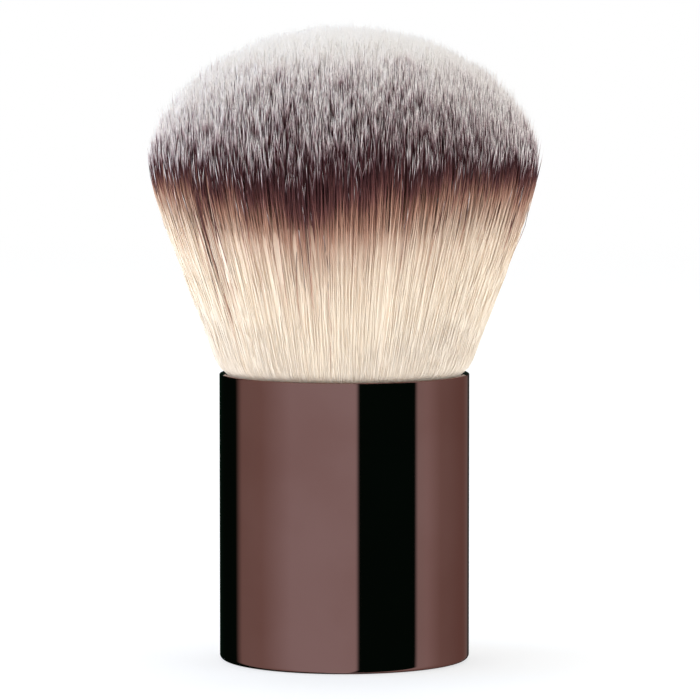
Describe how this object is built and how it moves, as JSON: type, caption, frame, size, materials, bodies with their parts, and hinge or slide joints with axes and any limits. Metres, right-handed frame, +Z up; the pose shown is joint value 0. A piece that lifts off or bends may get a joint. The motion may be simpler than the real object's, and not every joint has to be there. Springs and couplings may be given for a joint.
{
  "type": "powder brush",
  "caption": "Short powder brush with a weighted cylindrical metal handle and a domed head of dyed bristles that flexes when swept over skin.",
  "frame": {"origin": "centre of the flat base, where the brush stands", "axes": "+Z up along the brush, from the base to the top of the domed head; X and Y are any two crosswise directions"},
  "size_m": [0.0506, 0.0506, 0.0809],
  "materials": {
    "handle_metal": "gloss",
    "foam": "matte",
    "ballast_steel": "satin",
    "liner_plastic": "satin",
    "adhesive": "gloss",
    "cup_metal": "satin",
    "tie_cord": "matte",
    "bristle_shafts": "satin",
    "bristle_tips": "satin"
  },
  "bodies": {
    "handle": {"handle_shell": "handle_metal", "floor_pad": "foam", "ballast_weight": "ballast_steel", "core_sleeve": "liner_plastic", "shell_glue_ring": "adhesive", "cup_glue_ring": "adhesive", "ferrule_cup": "cup_metal", "root_plug": "adhesive", "binding_cord": "tie_cord", "bristle_root": "bristle_shafts"},
    "neck": {"bristle_neck": "bristle_shafts"},
    "head": {"bristle_head": "bristle_tips"}
  },
  "joints": [
    {"name": "neck_bend", "type": "hinge", "parent": "handle", "child": "neck", "pos_m": [0, 0, 0.0307], "axis": [1, 0, 0], "range_deg": [-15, 15], "stiffness_Nm_per_rad": 0.35},
    {"name": "head_bend", "type": "hinge", "parent": "neck", "child": "head", "pos_m": [0, 0, 0.0427], "axis": [0, 1, 0], "range_deg": [-15, 15], "stiffness_Nm_per_rad": 0.2}
  ]
}
